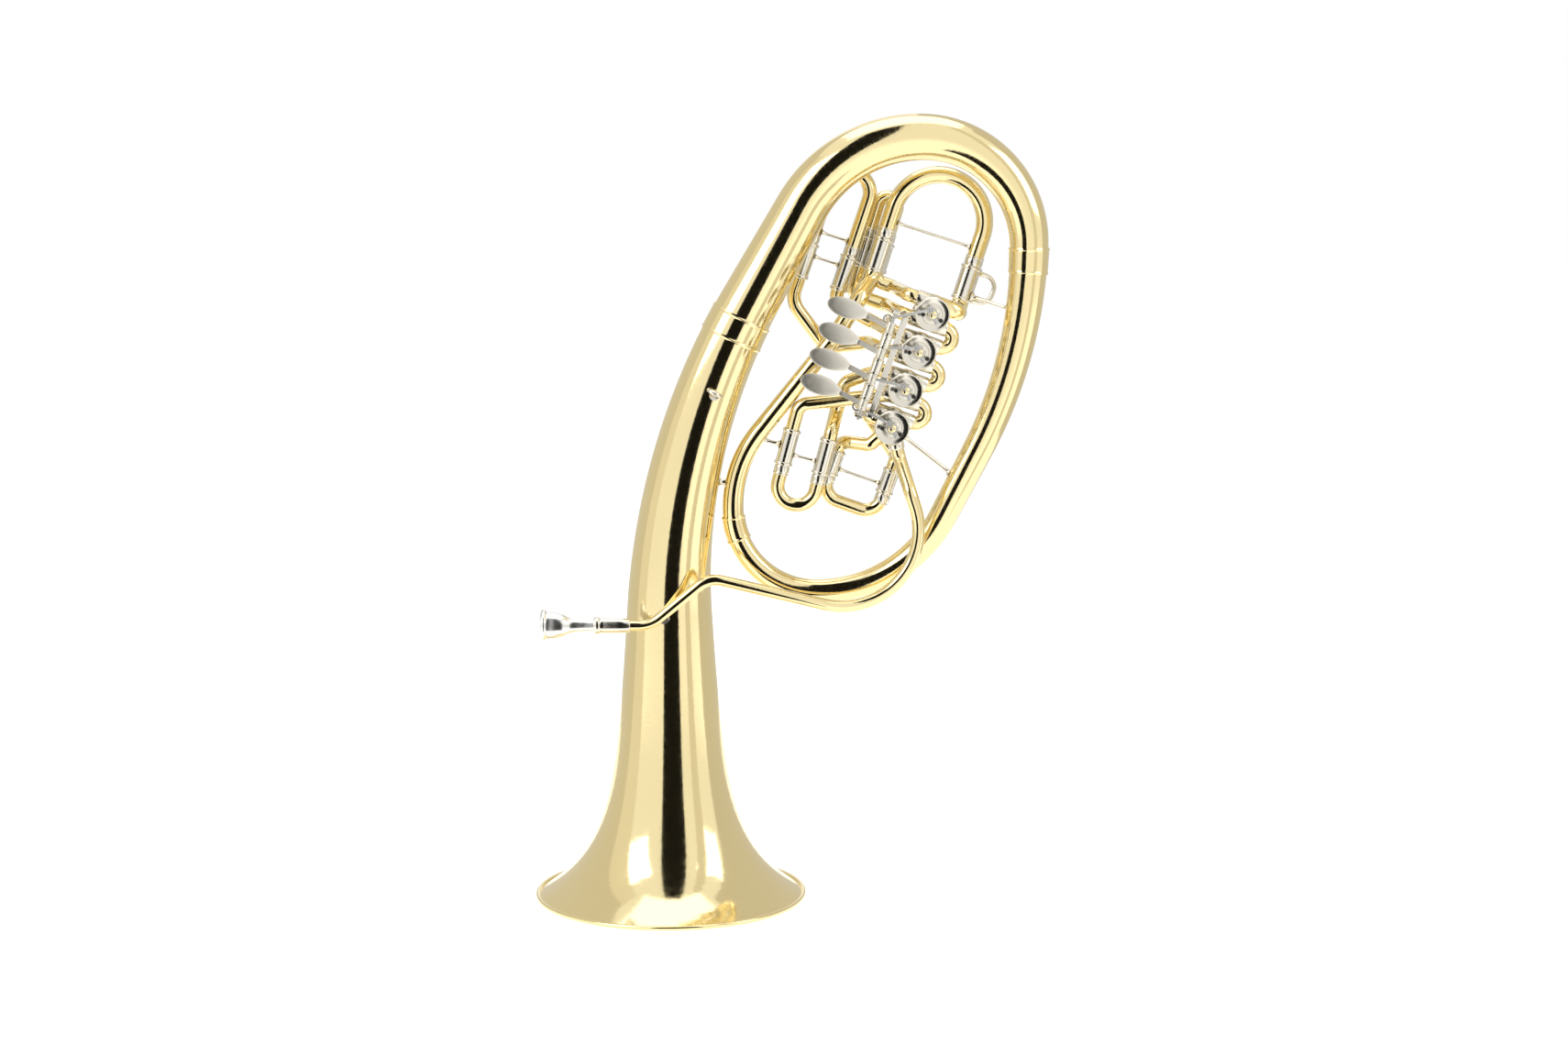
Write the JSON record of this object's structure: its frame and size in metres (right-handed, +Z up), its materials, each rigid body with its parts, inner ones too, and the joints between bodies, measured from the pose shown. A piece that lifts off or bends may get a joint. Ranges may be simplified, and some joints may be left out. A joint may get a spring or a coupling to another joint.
{
  "type": "rotary valve tenor horn",
  "caption": "Oval rotary-valve tenor horn standing on its bell, with finger levers, pull-out tuning slides and a removable mouthpiece.",
  "frame": {"origin": "middle of the footprint of the whole instrument, on the plane that the bell's rim stands on", "axes": "+Z up along the bell's axis, +X away from the mouthpiece towards the bottom bow's outer side, -Y is the side of the finger levers"},
  "size_m": [0.4774, 0.255, 0.7299],
  "materials": {
    "lacquered_brass": "polished yellow brass under clear lacquer",
    "nickel_silver": "polished nickel silver",
    "silver_plate": "silver plate, polished",
    "steel": "bright machined steel"
  },
  "bodies": {
    "body": {"bell_rim_bead": "lacquered_brass", "bell": "lacquered_brass", "top_bow": "lacquered_brass", "branch": "lacquered_brass", "main_outlet_tube": "lacquered_brass", "return_tube": "lacquered_brass", "leadpipe": "lacquered_brass", "knuckle_1": "lacquered_brass", "knuckle_2": "lacquered_brass", "knuckle_3": "lacquered_brass", "valve_1_rear_cap": "lacquered_brass", "valve_1_tubing": "lacquered_brass", "valve_1_casing": "nickel_silver", "valve_2_rear_cap": "lacquered_brass", "valve_2_tubing": "lacquered_brass", "valve_2_casing": "nickel_silver", "valve_3_rear_cap": "lacquered_brass", "valve_3_tubing": "lacquered_brass", "valve_3_casing": "nickel_silver", "valve_4_rear_cap": "lacquered_brass", "valve_4_tubing": "lacquered_brass", "valve_4_casing": "nickel_silver", "bell_ferrule": "nickel_silver", "branch_ferrule": "nickel_silver", "loop_ferrule": "nickel_silver", "mouthpiece_receiver": "nickel_silver", "lever_axle": "nickel_silver", "lever_frame": "nickel_silver", "brace_slide_branch": "nickel_silver", "brace_valve_branch": "nickel_silver", "brace_loop": "nickel_silver", "brace_stem": "nickel_silver", "brace_leadpipe": "nickel_silver", "finger_hook": "nickel_silver", "strap_ring": "nickel_silver"},
    "mouthpiece": {"mouthpiece": "silver_plate"},
    "main_slide": {"main_slide": "lacquered_brass"},
    "valve_1_slide": {"valve_1_slide": "lacquered_brass"},
    "lever_1": {"lever_1": "nickel_silver"},
    "rotor_1": {"valve_1_rotor": "lacquered_brass", "valve_1_stop_arm": "steel"},
    "link_1": {"lever_1_link": "steel"},
    "valve_2_slide": {"valve_2_slide": "lacquered_brass"},
    "lever_2": {"lever_2": "nickel_silver"},
    "rotor_2": {"valve_2_rotor": "lacquered_brass", "valve_2_stop_arm": "steel"},
    "link_2": {"lever_2_link": "steel"},
    "valve_3_slide": {"valve_3_slide": "lacquered_brass"},
    "lever_3": {"lever_3": "nickel_silver"},
    "rotor_3": {"valve_3_rotor": "lacquered_brass", "valve_3_stop_arm": "steel"},
    "link_3": {"lever_3_link": "steel"},
    "valve_4_slide": {"valve_4_slide": "lacquered_brass"},
    "lever_4": {"lever_4": "nickel_silver"},
    "rotor_4": {"valve_4_rotor": "lacquered_brass", "valve_4_stop_arm": "steel"},
    "link_4": {"lever_4_link": "steel"}
  },
  "joints": [
    {"name": "lever_1_press", "type": "hinge", "parent": "body", "child": "lever_1", "pos_m": [0.06718, -0.046, 0.46845], "axis": [-0.3305, 0, -0.9438], "range_deg": [0, 22.4], "stiffness_Nm_per_rad": 0.15, "springref_deg": -17.19},
    {"name": "rotor_1_turn", "type": "hinge", "parent": "body", "child": "rotor_1", "pos_m": [0.09464, 0, 0.444], "axis": [0, 1, 0], "range_deg": [0, 90]},
    {"name": "link_1_pivot", "type": "hinge", "parent": "rotor_1", "child": "link_1", "pos_m": [0.09226, -0.0272, 0.44896], "axis": [0, 1, 0], "range_deg": [-90, 0]},
    {"name": "lever_2_press", "type": "hinge", "parent": "body", "child": "lever_2", "pos_m": [0.07528, -0.046, 0.49157], "axis": [-0.3305, 0, -0.9438], "range_deg": [0, 22.4], "stiffness_Nm_per_rad": 0.15, "springref_deg": -17.19},
    {"name": "rotor_2_turn", "type": "hinge", "parent": "body", "child": "rotor_2", "pos_m": [0.1068, 0, 0.47873], "axis": [0, 1, 0], "range_deg": [0, 90]},
    {"name": "link_2_pivot", "type": "hinge", "parent": "rotor_2", "child": "link_2", "pos_m": [0.10442, -0.0272, 0.48369], "axis": [0, 1, 0], "range_deg": [-90, 0]},
    {"name": "lever_3_press", "type": "hinge", "parent": "body", "child": "lever_3", "pos_m": [0.08337, -0.046, 0.5147], "axis": [-0.3305, 0, -0.9438], "range_deg": [0, 22.4], "stiffness_Nm_per_rad": 0.15, "springref_deg": -17.19},
    {"name": "rotor_3_turn", "type": "hinge", "parent": "body", "child": "rotor_3", "pos_m": [0.11897, 0, 0.51346], "axis": [0, 1, 0], "range_deg": [0, 90]},
    {"name": "link_3_pivot", "type": "hinge", "parent": "rotor_3", "child": "link_3", "pos_m": [0.11658, -0.0272, 0.51842], "axis": [0, 1, 0], "range_deg": [-90, 0]},
    {"name": "lever_4_press", "type": "hinge", "parent": "body", "child": "lever_4", "pos_m": [0.09147, -0.046, 0.53782], "axis": [-0.3305, 0, -0.9438], "range_deg": [0, 22.4], "stiffness_Nm_per_rad": 0.15, "springref_deg": -17.19},
    {"name": "rotor_4_turn", "type": "hinge", "parent": "body", "child": "rotor_4", "pos_m": [0.13113, 0, 0.5482], "axis": [0, 1, 0], "range_deg": [0, 90]},
    {"name": "link_4_pivot", "type": "hinge", "parent": "rotor_4", "child": "link_4", "pos_m": [0.12874, -0.0272, 0.55315], "axis": [0, 1, 0], "range_deg": [-90, 0]},
    {"name": "valve_1_slide_pull", "type": "slide", "parent": "body", "child": "valve_1_slide", "axis": [-0.3305, 0, -0.9438], "range_m": [0, 0.018]},
    {"name": "valve_2_slide_pull", "type": "slide", "parent": "body", "child": "valve_2_slide", "axis": [-0.2588, 0, -0.9659], "range_m": [0, 0.024]},
    {"name": "valve_3_slide_pull", "type": "slide", "parent": "body", "child": "valve_3_slide", "axis": [0.3173, 0, 0.9483], "range_m": [0, 0.024]},
    {"name": "valve_4_slide_pull", "type": "slide", "parent": "body", "child": "valve_4_slide", "axis": [0.2924, 0, 0.9563], "range_m": [0, 0.02]},
    {"name": "main_slide_pull", "type": "slide", "parent": "body", "child": "main_slide", "axis": [0.309, 0, 0.9511], "range_m": [0, 0.025]},
    {"name": "mouthpiece_pull", "type": "slide", "parent": "body", "child": "mouthpiece", "axis": [-1, 0, 0], "range_m": [0, 0.022]}
  ],
  "couplings": [
    {"joint": "rotor_1_turn", "follows": "lever_1_press", "ratio": 4.01},
    {"joint": "link_1_pivot", "follows": "lever_1_press", "ratio": -4.01},
    {"joint": "rotor_2_turn", "follows": "lever_2_press", "ratio": 4.01},
    {"joint": "link_2_pivot", "follows": "lever_2_press", "ratio": -4.01},
    {"joint": "rotor_3_turn", "follows": "lever_3_press", "ratio": 4.01},
    {"joint": "link_3_pivot", "follows": "lever_3_press", "ratio": -4.01},
    {"joint": "rotor_4_turn", "follows": "lever_4_press", "ratio": 4.01},
    {"joint": "link_4_pivot", "follows": "lever_4_press", "ratio": -4.01}
  ]
}
